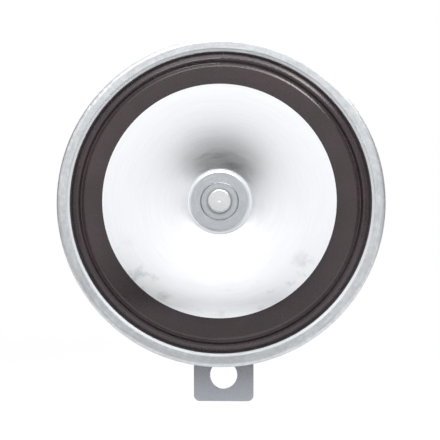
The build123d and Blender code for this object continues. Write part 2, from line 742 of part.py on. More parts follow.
def suppression_resistor():
    y = INNER_FACE - RESISTOR_R - RESISTOR_PLAY
    place = Pos(RESISTOR_X, y, BOLT_HOLE_TO_AXIS + RESISTOR_Z) * Rot(0, 90, 0)
    body = place * Cylinder(RESISTOR_R, RESISTOR_LENGTH)
    return fillet(body.edges(), RESISTOR_R * 0.3)


# ---- strap, spacer, washer and nut
def mounting_bracket():
    top = BOLT_HOLE_TO_AXIS + STRAP_ABOVE_AXIS
    height = top + STRAP_BELOW_HOLE
    strap = Pos(0, STRAP_FRONT / 2, top - height / 2) * Box(STRAP_WIDTH, STRAP_THICKNESS, height)
    strap = fillet(strap.edges().filter_by(Axis.Y), STRAP_CORNER)
    strap -= rod(STUD_HOLE_R, STRAP_FRONT - 1, 1)
    strap -= rod(BOLT_HOLE_R, STRAP_FRONT - 1, 1, 0, -BOLT_HOLE_TO_AXIS)
    return strap


def bracket_spacer():
    return turned([
        (STUD_HOLE_R, HUB_TOP, 0),
        (SPACER_R, HUB_TOP, 0.3),
        (SPACER_R, STRAP_FRONT, 0.3),
        (STUD_HOLE_R, STRAP_FRONT, 0),
    ])


def spring_washer():
    bore = STUD_R + THREAD_PLAY * 4
    ring = turned([
        (bore, 0, 0),
        (WASHER_R, 0, 0.1),
        (WASHER_R, WASHER_SECTION, 0.1),
        (bore, WASHER_SECTION, 0),
    ])
    x, z = polar((bore + WASHER_R) / 2, WASHER_SPLIT_ANGLE)
    split = block(WASHER_R, WASHER_SPLIT, -1, WASHER_SECTION + 1, x, z, WASHER_SPLIT_ANGLE)
    return ring - split


def mounting_nut():
    corner_r = NUT_FLATS / 2 / cos(radians(30))
    rear = WASHER_SECTION + NUT_HEIGHT
    outline = RegularPolygon(corner_r, 6, rotation=NUT_TURN)
    nut = extrude(back_plane(WASHER_SECTION) * outline, NUT_HEIGHT)
    cone = turned([
        (0, WASHER_SECTION, 0),
        (corner_r * 1.02, WASHER_SECTION, 0),
        (corner_r * 1.02, rear - NUT_CHAMFER, 0),
        (corner_r * 1.02 - 2 * NUT_CHAMFER, rear, 0),
        (0, rear, 0),
    ])
    nut = nut & cone
    nut -= rod(STUD_R + THREAD_PLAY, WASHER_SECTION - 1, rear + 1)
    return nut - turned([(0, rear - 0.6, 0), (STUD_R, rear - 0.6, 0), (STUD_R + 0.7, rear + 0.1, 0), (0, rear + 0.1, 0)])


def build():
    os.makedirs("parts", exist_ok=True)
    save("rear_housing", rear_housing())
    save("rim_ring", rim_ring())
    save("rim_seal", rim_seal())
    save("diaphragm", diaphragm())
    save("tone_disc", tone_disc())
    save("front_washer", front_washer())
    save("middle_washer", plain_washer(MIDDLE_WASHER_R, DISC_BACK, MIDDLE_WASHER_THICKNESS))
    save("rear_washer", plain_washer(REAR_WASHER_R, FLAT_REAR, REAR_WASHER_THICKNESS))
    save("armature", armature())
    save("pole_core", pole_core())
    save("coil_bobbin", coil_bobbin())
    save("coil_winding", coil_winding())
    save("contact_bracket", contact_bracket())
    save("rear_contact_insulator", shelf_plate(MOVING_ARM_REAR, SHELF_FRONT))
    save("middle_contact_insulator", shelf_plate(FIXED_ARM_REAR, MOVING_ARM_FRONT))
    save("front_contact_insulator", shelf_plate(STACK_TOP, FIXED_ARM_FRONT))
    save("moving_contact_arm", moving_contact_arm())
    save("fixed_contact_arm", shelf_plate(FIXED_ARM_FRONT, FIXED_ARM_REAR, FIXED_ARM_END_X))
    save("moving_contact_tip", contact_tip(MOVING_ARM_FRONT - TIP_HEIGHT, MOVING_ARM_FRONT))
    save("fixed_contact_tip", contact_tip(FIXED_ARM_REAR, FIXED_ARM_REAR + TIP_HEIGHT))
    save("contact_rivets", contact_rivets())
    save("screw_bush", screw_bush())
    save("adjusting_screw", adjusting_screw())
    save("terminal_insulator", terminal_insulator())
    save("upper_terminal", terminal(0))
    save("lower_terminal", terminal(1))
    save("terminal_rivets", terminal_rivets())
    save("inner_insulator", inner_insulator())
    save("supply_lead", supply_lead())
    save("breaker_lead", breaker_lead())
    save("earth_lead", earth_lead())
    save("suppression_resistor", suppression_resistor())
    save("mounting_bracket", mounting_bracket())
    save("bracket_spacer", bracket_spacer())
    save("spring_washer", spring_washer())
    save("mounting_nut", mounting_nut())


build()
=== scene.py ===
from math import pi, radians, tan

import bpy
from bpy.props import FloatProperty, FloatVectorProperty, IntProperty, PointerProperty
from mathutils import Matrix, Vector


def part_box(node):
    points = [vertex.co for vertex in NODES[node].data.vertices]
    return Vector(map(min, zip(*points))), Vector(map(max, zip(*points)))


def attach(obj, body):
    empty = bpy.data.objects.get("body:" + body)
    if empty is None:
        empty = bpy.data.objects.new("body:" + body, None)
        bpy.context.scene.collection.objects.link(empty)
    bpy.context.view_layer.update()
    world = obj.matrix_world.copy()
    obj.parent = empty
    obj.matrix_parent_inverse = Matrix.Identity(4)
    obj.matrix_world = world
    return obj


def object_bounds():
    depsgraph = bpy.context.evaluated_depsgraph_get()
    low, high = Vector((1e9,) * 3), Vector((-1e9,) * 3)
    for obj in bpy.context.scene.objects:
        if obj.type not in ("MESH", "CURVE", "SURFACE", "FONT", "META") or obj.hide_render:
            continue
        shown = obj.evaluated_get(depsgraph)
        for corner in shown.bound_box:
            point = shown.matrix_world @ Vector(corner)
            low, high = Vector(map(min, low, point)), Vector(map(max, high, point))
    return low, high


bl_info = {
    "name": "Disc Horn Dresser",
    "version": (1, 0, 0),
    "blender": (4, 5, 0),
    "location": "View3D > Sidebar > Disc Horn",
    "description": "Finishes and fine pieces for a car disc horn built in CAD",
    "category": "Object",
}

MM = 0.001
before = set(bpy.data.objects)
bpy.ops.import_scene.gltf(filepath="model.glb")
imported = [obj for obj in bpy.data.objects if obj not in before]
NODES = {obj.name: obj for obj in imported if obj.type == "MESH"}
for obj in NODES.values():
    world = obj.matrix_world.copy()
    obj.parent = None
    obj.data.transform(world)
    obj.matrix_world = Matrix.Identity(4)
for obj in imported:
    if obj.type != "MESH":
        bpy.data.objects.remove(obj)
CAD_BOX = [list(corner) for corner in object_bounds()]


def middle(node):
    """Middle of a CAD node's box, in metres."""
    low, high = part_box(node)
    return (low + high) / 2


# The horn's own axis runs along y through the middle of its rim.
AXIS_Z = middle("rim_ring").z
RIM_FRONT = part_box("rim_ring")[0].y
STUD_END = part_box("pole_core")[1].y
STUD_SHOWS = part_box("spring_washer")[0].y
COIL_LOW, COIL_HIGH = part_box("coil_winding")

# Points on each turn of a helix.
TURN_POINTS = 56
# The thread ends where the stud's chamfer starts, and sinks into the stud by this share of its
# crest, so that no gap shows.
STUD_CHAMFER = 0.7 * MM
THREAD_SUNK = 0.2

# The studio: what lights the horn from all round, and the white sweep under it.
ROOM_GREY = (0.46, 0.46, 0.47)
PAPER_GREY = (0.9, 0.9, 0.9)
WHITE = (1.0, 1.0, 1.0)
FLOOR_REACH = 6.0
# Near the horn the paper glows this little, which keeps its shadow; further out it is all white.
GLOW_NEAR = 0.45
GLOW_FROM = 0.15
GLOW_FULL_AT = 0.7
CARD_LIFT = 2 * MM
FLAG_OUT = 0.4
FLAG_TOP = 0.42
CAMERA_BELOW = radians(2.6)
CAMERA_ASIDE = radians(2.2)
AIM_BELOW_AXIS = 5.5 * MM


def linear(code):
    """Linear colour from an sRGB hex code."""
    parts = [int(code[i : i + 2], 16) / 255 for i in (1, 3, 5)]
    return tuple(c / 12.92 if c <= 0.04045 else ((c + 0.055) / 1.055) ** 2.4 for c in parts)


def tint(name, code):
    """A colour that the user may change."""
    return FloatVectorProperty(
        name=name,
        description=name + " of the dressed horn",
        subtype="COLOR",
        size=3,
        min=0.0,
        max=1.0,
        default=linear(code),
    )


def length(name, what, default_mm):
    """A length that the user may change, held in metres."""
    return FloatProperty(name=name, description=what, default=default_mm * MM, unit="LENGTH")


class HornColours(bpy.types.PropertyGroup):
    """Colours of the horn's finishes."""

    rim: tint("Rim plating", "#DBDEE1")
    housing: tint("Housing plating", "#BDC0C6")
    strap: tint("Strap plating", "#E4E7F0")
    fastener: tint("Nut and stud plating", "#ECEDEE")
    # The spacer's plating is darker, to paint the shade it sits in under the strap.
    spacer: tint("Spacer plating", "#7A7C82")
    washer: tint("Washer plating", "#C4C8CC")
    enamel: tint("Diaphragm enamel", "#312427")
    disc: tint("Sounding disc", "#FAFCFF")
    nylon: tint("Terminal insulator", "#F1F0EE")
    copper: tint("Terminal copper", "#C87B50")
    wire: tint("Winding enamel", "#9A4A1E")


class HornSizes(bpy.types.PropertyGroup):
    """Sizes of the fine pieces and of the studio."""

    stud_radius: length("Stud radius", "Radius of the stud under its thread", 3.0)
    thread_pitch: length("Thread pitch", "Pitch of the stud's thread", 1.0)
    thread_height: length("Thread height", "Crest of the thread above the stud", 0.16)
    wire_diameter: length("Wire diameter", "Diameter of the enamelled winding wire", 0.5)
    camera_distance: length("Camera distance", "From the rim's front to the camera", 310.0)
    floor_drop: length("Floor drop", "From the strap's lower end to the floor", 36.0)
    lens: FloatProperty(name="Lens", description="Focal length in mm", default=84.0)
    thread_sides: IntProperty(name="Thread sides", description="Sides of its profile", default=3)
    wire_sides: IntProperty(name="Wire sides", description="Facets round the wire", default=8)


# ---------------------------------------------------------------- node helpers
def feed(tree, socket, value):
    """Link a socket to the value, or hold the value as its constant."""
    if isinstance(value, bpy.types.NodeSocket):
        tree.links.new(value, socket)
    elif socket.type == "RGBA":
        socket.default_value = (*value, 1)
    else:
        socket.default_value = value


def add(tree, kind, inputs=None, **settings):
    """One node with its settings; inputs holds constants, or sockets to link from."""
    made = tree.nodes.new(kind)
    for key, value in settings.items():
        setattr(made, key, value)
    for key, value in (inputs or {}).items():
        feed(tree, made.inputs[key], value)
    return made


def maths(tree, operation, first, second=0.0):
    """Result of one maths step."""
    return add(tree, "ShaderNodeMath", {0: first, 1: second}, operation=operation).outputs[0]


def axis_place(tree):
    """Object coordinates counted from the horn's axis."""
    coords = add(tree, "ShaderNodeTexCoord").outputs["Object"]
    return add(
        tree, "ShaderNodeMapping", {"Vector": coords, "Location": (0, 0, -AXIS_Z)}
    ).outputs[0]


def polar_place(tree):
    """x, y and z counted from the horn's axis, and the radius from it."""
    x, y, z = add(tree, "ShaderNodeSeparateXYZ", {0: axis_place(tree)}).outputs
    across = maths(tree, "ADD", maths(tree, "MULTIPLY", x, x), maths(tree, "MULTIPLY", z, z))
    return x, y, z, maths(tree, "SQRT", across)


def spun_lines(tree, line_mm, sweep):
    """Pattern space that runs round the axis: fine across the radius, long round the circle."""
    x, y, z, radius = polar_place(tree)
    round_x = maths(tree, "MULTIPLY", maths(tree, "DIVIDE", x, radius), sweep)
    round_z = maths(tree, "MULTIPLY", maths(tree, "DIVIDE", z, radius), sweep)
    depth = maths(tree, "ADD", radius, y)
    fine = maths(tree, "DIVIDE", depth, line_mm * MM)
    return add(tree, "ShaderNodeCombineXYZ", {0: round_x, 1: round_z, 2: fine}).outputs[0]


def stretched(tree, size_mm):
    """Pattern space whose cell has these three sizes in millimetres."""
    coords = add(tree, "ShaderNodeTexCoord").outputs["Object"]
    scale = tuple(1 / (s * MM) for s in size_mm)
    return add(tree, "ShaderNodeMapping", {"Vector": coords, "Scale": scale}).outputs[0]


def noise(tree, space, detail=2.0, roughness=0.5):
    """Noise with one cell per unit of its space."""
    return add(
        tree,
        "ShaderNodeTexNoise",
        {"Vector": space, "Scale": 1.0, "Detail": detail, "Roughness": roughness},
    ).outputs[0]


def span(tree, value, low, high, low_in=0.35, high_in=0.65):
    """A value's middle range mapped onto low..high."""
    return add(
        tree,
        "ShaderNodeMapRange",
        {"Value": value, "From Min": low_in, "From Max": high_in, "To Min": low, "To Max": high},
    ).outputs[0]


def mix(tree, factor, first, second):
    """Two colours mixed."""
    # A mix node has a set of sockets for each type: 0 is the factor, 6, 7 and output 2 the colours.
    inputs = {0: factor, 6: first, 7: second}
    return add(tree, "ShaderNodeMix", inputs, data_type="RGBA").outputs[2]


def shade(colour, factor):
    """A colour made darker or lighter."""
    return tuple(min(1.0, c * factor) for c in colour)


def finished(name, build):
    """A new material whose shader sockets build() fills."""
    made = bpy.data.materials.new(name)
    made.use_nodes = True
    tree = made.node_tree
    shader = tree.nodes["Principled BSDF"]
    for key, value in build(tree).items():
        feed(tree, shader.inputs[key], value)
    return made


def relief(tree, height, depth_mm):
    """Normal from a height pattern."""
    return add(tree, "ShaderNodeBump", {"Height": height, "Distance": depth_mm * MM}).outputs[0]


def facing_axis(tree):
    """How level a face lies (1 is square to the horn's axis, 0 along it), and its normal's y."""
    facing = add(tree, "ShaderNodeNewGeometry").outputs["Normal"]
    along = add(tree, "ShaderNodeSeparateXYZ", {0: facing}).outputs[1]
    return maths(tree, "ABSOLUTE", along), along


def creases(tree, reach_mm):
    """Ambient occlusion, used to paint shade: 1 in the open, less in corners and along folds."""
    reach = {"Distance": reach_mm * MM}
    return add(tree, "ShaderNodeAmbientOcclusion", reach, samples=4).outputs["AO"]


# ---------------------------------------------------------------- finishes
# The patterns have cells in millimetres. Those that would be too fine to show in a render, such as
# the zinc's grain and the enamel's orange peel, are drawn as coarse as they need to be.
def plated_steel(
    name,
    colour,
    line_mm,
    sweep,
    roughness,
    contrast=1.0,
    crease_mm=0.0,
    depth_mm=0.012,
    mottle=0.0,
    drawn=0.0,
    burnished_mm=0.0,
):
    """Zinc-plated steel pressed or rolled round the axis: satin grey with fine lines round the
    circle and faint clouds in the plating. Where asked, it is mottled by zinc crystals, has
    painted shade in folds and on walls along the axis, and a painted highlight inside a radius."""

    def build(tree):
        lines = noise(tree, spun_lines(tree, line_mm, sweep), 3.0, 0.6)
        clouds = noise(tree, stretched(tree, (9, 9, 9)), 3.0, 0.55)
        specks = noise(tree, stretched(tree, (0.7, 0.7, 0.7)), 2.0, 0.7)
        dark, light = shade(colour, 1 - 0.2 * contrast), shade(colour, 1 + 0.1 * contrast)
        base = mix(tree, span(tree, lines, 0, 1), dark, light)
        base = mix(tree, span(tree, clouds, 0, 0.3), base, shade(colour, 0.85))
        if mottle:
            crystals = noise(tree, stretched(tree, (1.5, 1.5, 1.5)), 3.0, 0.7)
            base = mix(tree, span(tree, crystals, mottle, 0), base, shade(colour, 0.62))
        # Painted shade: faces that lie along the axis, such as walls, are darkened by their normal.
        if drawn:
            level = facing_axis(tree)[0]
            base = mix(tree, span(tree, level, drawn, 0, 0.72, 0.97), base, shade(colour, 0.3))
        # Painted shade: darker in folds and corners, by ambient occlusion.
        if crease_mm:
            open_part = span(tree, creases(tree, crease_mm), 0, 1, 0.35, 0.95)
            base = mix(tree, open_part, shade(colour, 0.18), base)
        # Painted highlight: a lighter copy of the plating inside the given radius, on the rim's
        # inner lip.
        if burnished_mm:
            radius = polar_place(tree)[3]
            lip = span(tree, radius, 1, 0, (burnished_mm - 0.3) * MM, burnished_mm * MM)
            base = mix(tree, lip, base, shade(colour, 1.22))
        rough = maths(tree, "ADD", span(tree, lines, -0.06 * contrast, 0.08 * contrast), roughness)
        rough = maths(tree, "ADD", rough, span(tree, specks, -0.03, 0.04))
        height = maths(tree, "ADD", lines, maths(tree, "MULTIPLY", specks, 0.4))
        return {
            "Base Color": base,
            "Metallic": 1.0,
            "Roughness": rough,
            "Normal": relief(tree, height, depth_mm),
        }

    return finished(name, build)


def turned_steel(name, colour, rim_mm):
    """Zinc-plated turned washer: grey face with fine tool rings, painted shade in the corner round
    the stud and a painted highlight on its rim."""

    def build(tree):
        rings = noise(tree, spun_lines(tree, 0.35, 2.0), 3.0, 0.6)
        grain = noise(tree, stretched(tree, (0.9, 0.9, 0.9)), 3.0, 0.6)
        radius = polar_place(tree)[3]
        rim = span(tree, radius, 0, 1, rim_mm * MM, (rim_mm + 0.25) * MM)
        base = mix(tree, span(tree, rings, 0, 1), shade(colour, 0.88), shade(colour, 1.06))
        base = mix(tree, span(tree, grain, 0, 0.4), base, shade(colour, 0.8))
        # Painted highlight: the rim is a lighter copy of the face.
        base = mix(tree, rim, base, shade(colour, 1.45))
        # Painted shade round the stud and in its step, by ambient occlusion.
        open_part = span(tree, creases(tree, 1.0), 0, 1, 0.45, 0.9)
        base = mix(tree, open_part, shade(colour, 0.3), base)
        return {
            "Base Color": base,
            "Metallic": 1.0,
            "Roughness": span(tree, rings, 0.28, 0.38),
            "Normal": relief(tree, rings, 0.012),
        }

    return finished(name, build)


def barrel_plated_steel(name, colour, roughness, dull=0.25, crease_mm=0.0, flanks=0.0, fold=0.06):
    """Small parts zinc-plated in a barrel: brighter, with a fine grain and cloudy passivation.
    Where asked, the flanks and the folds carry painted shade."""

    def build(tree):
        grain = noise(tree, stretched(tree, (0.8, 0.8, 0.8)), 3.0, 0.6)
        clouds = noise(tree, stretched(tree, (5, 5, 5)), 3.0, 0.5)
        base = mix(tree, span(tree, grain, 0, 1), shade(colour, 0.95), shade(colour, 1.03))
        base = mix(tree, span(tree, clouds, 0, dull), base, shade(colour, 0.8))
        # Painted shade on faces that lie along the axis, such as the nut's flats.
        if flanks:
            level = facing_axis(tree)[0]
            base = mix(tree, span(tree, level, flanks, 0, 0.2, 0.6), base, shade(colour, 0.12))
        # Painted shade in folds and slots, by ambient occlusion.
        if crease_mm:
            open_part = span(tree, creases(tree, crease_mm), 0, 1, 0.45, 0.9)
            base = mix(tree, open_part, shade(colour, fold), base)
        rough = maths(tree, "ADD", span(tree, grain, -0.03, 0.04), roughness)
        return {
            "Base Color": base,
            "Metallic": 1.0,
            "Roughness": rough,
            "Normal": relief(tree, grain, 0.0015),
        }

    return finished(name, build)


def rubbed_black(name, top):
    """Black lacquered steel, rubbed to the metal in patches where a screwdriver meets it."""

    def build(tree):
        grain = noise(tree, stretched(tree, (0.5, 0.5, 0.5)), 3.0, 0.6)
        depth = add(tree, "ShaderNodeSeparateXYZ", {0: axis_place(tree)}).outputs[1]
        worn = span(tree, depth, 0, 1, top - 0.35 * MM, top - 0.05 * MM)
        patches = noise(tree, stretched(tree, (2.4, 2.4, 2.4)), 3.0, 0.6)
        worn = maths(tree, "MULTIPLY", worn, span(tree, patches, 0.0, 0.8, 0.45, 0.62))
        return {
            "Base Color": mix(tree, worn, linear("#2B2A2E"), linear("#8F8C91")),
            "Metallic": 1.0,
            "Roughness": span(tree, grain, 0.36, 0.5),
            "Normal": relief(tree, grain, 0.01),
        }

    return finished(name, build)


def strap_plate(colour):
    """Cold-rolled strip, blanked and zinc-plated: pale, with faint rolling lines lengthwise."""

    def build(tree):
        rolled = noise(tree, stretched(tree, (0.35, 2, 22)), 3.0, 0.6)
        clouds = noise(tree, stretched(tree, (8, 8, 11)), 2.0, 0.5)
        base = mix(tree, span(tree, rolled, 0, 1), shade(colour, 0.96), shade(colour, 1.02))
        base = mix(tree, span(tree, clouds, 0, 0.2), base, shade(colour, 0.86))
        # Painted shade: the side that faces the pot is darkened where the pot shades it, by ambient
        # occlusion.
        open_part = span(tree, creases(tree, 40), 0, 1, 0.55, 1.0)
        outer_side = span(tree, facing_axis(tree)[1], 0, 1, -0.6, -0.2)
        open_part = maths(tree, "MAXIMUM", open_part, outer_side)
        base = mix(tree, open_part, shade(colour, 0.1), base)
        return {
            "Base Color": base,
            "Metallic": 1.0,
            "Roughness": span(tree, rolled, 0.42, 0.5),
            "Normal": relief(tree, rolled, 0.006),
        }

    return finished("zinc-plated strip", build)


def black_enamel(colour):
    """Stoved black enamel on pressed sheet: warm black, semi-gloss, with a faint orange peel and a
    little dust, with painted shade in its grooves and under the ring."""

    def build(tree):
        peel = noise(tree, stretched(tree, (0.9, 1.31, 0.9)), 2.0, 0.5)
        dust = noise(tree, stretched(tree, (0.45, 0.45, 0.45)), 2.0, 0.7)
        bloom = noise(tree, stretched(tree, (14, 14, 14)), 3.0, 0.5)
        base = mix(tree, span(tree, bloom, 0, 1), shade(colour, 0.85), shade(colour, 1.2))
        base = mix(tree, span(tree, dust, 0, 0.05, 0.58, 0.72), base, linear("#8C8583"))
        # Painted shade in the grooves and under the ring, by ambient occlusion.
        open_part = span(tree, creases(tree, 3.5), 0, 1, 0.5, 0.92)
        base = mix(tree, open_part, shade(colour, 0.35), base)
        return {
            "Base Color": base,
            "Roughness": span(tree, peel, 0.27, 0.34),
            "Specular IOR Level": 0.65,
            "Normal": relief(tree, peel, 0.0015),
        }

    return finished("stoved black enamel", build)


def disc_aluminium(colour):
    """Spun aluminium, pickled to a pale satin: almost white, spinning lines barely there, a few
    grey handling marks towards the edge."""

    def build(tree):
        lines = noise(tree, spun_lines(tree, 0.5, 2.5), 3.0, 0.6)
        marks = noise(tree, stretched(tree, (7, 7, 5)), 4.0, 0.6)
        _, _, height, radius = polar_place(tree)
        outer = span(tree, radius, 0, 1, 22 * MM, 32 * MM)
        low = span(tree, height, 1, 0, -22 * MM, -8 * MM)
        marked = maths(tree, "MULTIPLY", span(tree, marks, 0, 0.55, 0.54, 0.7), outer)
        marked = maths(tree, "MULTIPLY", marked, low)
        base = mix(tree, span(tree, lines, 0, 1), shade(colour, 0.96), colour)
        base = mix(tree, marked, base, linear("#A9ADB2"))
        return {
            "Base Color": base,
            "Metallic": 1.0,
            "Roughness": span(tree, lines, 0.31, 0.37),
            "Normal": relief(tree, lines, 0.004),
        }

    return finished("satin spun aluminium", build)


def moulded(name, colour, smooth, rough, grain_mm=0.6, speck=0.0):
    """Moulded plastic or rubber: even colour, soft sheen, the die's fine grain, with darker specks
    where a filler shows."""

    def build(tree):
        grain = noise(tree, stretched(tree, (grain_mm,) * 3), 2.0, 0.6)
        flow = noise(tree, stretched(tree, (6, 6, 6)), 2.0, 0.5)
        base = mix(tree, span(tree, flow, 0, 1), shade(colour, 0.93), shade(colour, 1.03))
        base = mix(tree, span(tree, grain, 0, speck), base, shade(colour, 0.5))
        return {
            "Base Color": base,
            "Roughness": span(tree, grain, smooth, rough),
            "Normal": relief(tree, grain, 0.01),
        }

    return finished(name, build)


def copper_plate(name, colour, tarnished=0.75, crease_mm=0.0):
    """Copper-plated brass pressing: warm metal, half tarnished in brown clouds."""

    def build(tree):
        tarnish = noise(tree, stretched(tree, (1.6, 1.6, 1.6)), 4.0, 0.6)
        scratch = noise(tree, stretched(tree, (0.2, 3, 1.2)), 2.0, 0.6)
        base = mix(tree, span(tree, tarnish, 0, tarnished), colour, linear("#8A4529"))
        base = mix(tree, span(tree, scratch, 0, 0.4), base, linear("#F0BE98"))
        # Painted shade in corners, such as at the blade's foot, by ambient occlusion.
        if crease_mm:
            open_part = span(tree, creases(tree, crease_mm), 0, 1, 0.35, 0.85)
            base = mix(tree, open_part, linear("#4A2013"), base)
        return {
            "Base Color": base,
            "Metallic": 1.0,
            "Roughness": span(tree, tarnish, 0.18, 0.36),
            "Normal": relief(tree, maths(tree, "ADD", scratch, tarnish), 0.05),
        }

    return finished(name, build)


def wound_enamel(colour):
    """Enamelled copper wire: clear amber varnish over copper."""

    def build(tree):
        varnish = noise(tree, stretched(tree, (1.2, 0.4, 1.2)), 2.0, 0.5)
        dark, light = shade(colour, 0.75), shade(colour, 1.2)
        return {
            "Base Color": mix(tree, span(tree, varnish, 0, 1), dark, light),
            "Metallic": 1.0,
            "Roughness": span(tree, varnish, 0.24, 0.36),
            "Coat Weight": 0.6,
            "Coat Roughness": 0.12,
        }

    return finished("enamelled copper wire", build)


def dress(material, *nodes):
    """The CAD nodes take this material."""
    for name in nodes:
        mesh = NODES[name].data
        mesh.materials.clear()
        mesh.materials.append(material)


# ---------------------------------------------------------------- geometry node pieces
def helix_tree(name, profile_sides):
    """Geometry Nodes tree: a helix along y round the horn's axis, swept with a profile of so many
    sides."""
    tree = bpy.data.node_groups.new(name, "GeometryNodeTree")
    face = tree.interface
    for label in ("Turns", "Radius", "Start", "Run", "Section", "Axis Height"):
        face.new_socket(label, in_out="INPUT", socket_type="NodeSocketFloat")
    face.new_socket("Finish", in_out="INPUT", socket_type="NodeSocketMaterial")
    face.new_socket("Geometry", in_out="OUTPUT", socket_type="NodeSocketGeometry")
    given = add(tree, "NodeGroupInput").outputs
    spiral = add(
        tree,
        "GeometryNodeCurveSpiral",
        {
            "Resolution": TURN_POINTS,
            "Rotations": given["Turns"],
            "Start Radius": given["Radius"],
            "End Radius": given["Radius"],
            "Height": given["Run"],
        },
    ).outputs[0]
    start = {1: given["Start"], 2: given["Axis Height"]}
    place = add(tree, "ShaderNodeCombineXYZ", start).outputs[0]
    laid = add(
        tree,
        "GeometryNodeTransform",
        {"Geometry": spiral, "Rotation": (-pi / 2, 0, 0), "Translation": place},
    ).outputs[0]
    profile = add(
        tree,
        "GeometryNodeCurvePrimitiveCircle",
        {"Resolution": profile_sides, "Radius": given["Section"]},
    ).outputs[0]
    swept = add(
        tree,
        "GeometryNodeCurveToMesh",
        {"Curve": laid, "Profile Curve": profile, "Fill Caps": True},
    ).outputs[0]
    real = add(tree, "GeometryNodeRealizeInstances", {"Geometry": swept}).outputs[0]
    coated = add(
        tree, "GeometryNodeSetMaterial", {"Geometry": real, "Material": given["Finish"]}
    ).outputs[0]
    smooth = add(tree, "GeometryNodeSetShadeSmooth", {"Geometry": coated}).outputs[0]
    add(tree, "NodeGroupOutput", {"Geometry": smooth})
    return tree


def grown(name, tree, values):
    """Plain mesh object from a Geometry Nodes tree."""
    scene = bpy.context.scene
    host = bpy.data.objects.new(name + "_host", bpy.data.meshes.new(name + "_host"))
    scene.collection.objects.link(host)
    modifier = host.modifiers.new(name, "NODES")
    modifier.node_group = tree
    for item in tree.interface.items_tree:
        if item.in_out == "INPUT" and item.name in values:
            modifier[item.identifier] = values[item.name]
    graph = bpy.context.evaluated_depsgraph_get()
    mesh = bpy.data.meshes.new_from_object(host.evaluated_get(graph), depsgraph=graph)
    bpy.data.objects.remove(host)
    piece = bpy.data.objects.new(name, mesh)
    scene.collection.objects.link(piece)
    return piece


# ---------------------------------------------------------------- operators
class HORN_OT_rim(bpy.types.Operator):
    """Finish the housing, the rolled rim and its seal"""

    bl_idname = "horn.rim"
    bl_label = "Housing and rim"

    def execute(self, context):
        colours = context.scene.horn_colours
        rolled = plated_steel(
            "zinc-plated rolled rim",
            colours.rim,
            line_mm=0.34,
            sweep=5.0,
            roughness=0.45,
            contrast=0.6,
            mottle=0.45,
            # Painted highlight on the rim's inner lip.
            burnished_mm=46.7,
        )
        dress(rolled, "rim_ring")
        # Painted shade: the pot's walls are darker than its level faces, and its folds darker by
        # ambient occlusion.
        pot = plated_steel(
            "zinc-plated drawn steel",
            colours.housing,
            line_mm=0.6,
            sweep=7.0,
            roughness=0.44,
            contrast=0.3,
            crease_mm=4.5,
            depth_mm=0.003,
            mottle=0.15,
            drawn=0.6,
        )
        dress(pot, "rear_housing")
        # Nitrile rubber: dull, and greyed by dust.
        rubber = moulded("black nitrile rubber", linear("#66686C"), 0.6, 0.75, grain_mm=0.5)
        dress(rubber, "rim_seal")
        return {"FINISHED"}


class HORN_OT_sounding(bpy.types.Operator):
    """Finish the diaphragm, the sounding disc and what clamps them"""

    bl_idname = "horn.sounding"
    bl_label = "Diaphragm and disc"

    def execute(self, context):
        colours = context.scene.horn_colours
        dress(black_enamel(colours.enamel), "diaphragm")
        dress(disc_aluminium(colours.disc), "tone_disc")
        # The washer has a painted highlight on its rim and painted shade round the stud.
        dress(turned_steel("zinc-plated turned washer", colours.washer, rim_mm=8.5), "front_washer")
        turned = plated_steel(
            "zinc-plated turned steel",
            shade(colours.fastener, 0.9),
            line_mm=0.3,
            sweep=4.0,
            roughness=0.3,
            contrast=0.5,
        )
        dress(turned, "armature", "middle_washer", "rear_washer")
        return {"FINISHED"}


class HORN_OT_strap(bpy.types.Operator):
    """Finish the strap with its spacer, washer, nut and threaded stud"""

    bl_idname = "horn.strap"
    bl_label = "Strap and nut"

    def execute(self, context):
        colours = context.scene.horn_colours
        sizes = context.scene.horn_sizes
        dress(strap_plate(colours.strap), "mounting_bracket")
        bright = barrel_plated_steel("barrel-plated steel", colours.fastener, 0.26)
        dress(bright, "pole_core", "contact_bracket")
        # Painted shade: the nut's wrench flats are darker than its faces, and its folds darker by
        # ambient occlusion.
        nut = barrel_plated_steel(
            "barrel-plated nut steel", colours.fastener, 0.26, crease_mm=1.0, flanks=0.5, fold=0.35
        )
        dress(nut, "mounting_nut")
        # Painted shade: the spacer's darker plating and its darker folds stand for the shade round
        # it.
        spacer = plated_steel(
            "plated spacer steel",
            colours.spacer,
            line_mm=0.6,
            sweep=6.0,
            roughness=0.4,
            contrast=0.4,
            crease_mm=1.6,
            depth_mm=0.004,
        )
        dress(spacer, "bracket_spacer")
        # Oil-blacked spring steel: dark grey with a low shine.
        dress(barrel_plated_steel("blacked spring steel", linear("#5A5B5E"), 0.35), "spring_washer")
        run = STUD_END - STUD_CHAMFER - STUD_SHOWS
        thread = grown(
            "stud_thread",
            helix_tree("stud thread", sizes.thread_sides),
            {
                "Turns": run / sizes.thread_pitch,
                "Radius": sizes.stud_radius - sizes.thread_height * THREAD_SUNK,
                "Start": STUD_SHOWS,
                "Run": run,
                "Section": sizes.thread_height * (1 + THREAD_SUNK),
                "Axis Height": AXIS_Z,
                "Finish": bright,
            },
        )
        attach(thread, "horn")
        return {"FINISHED"}


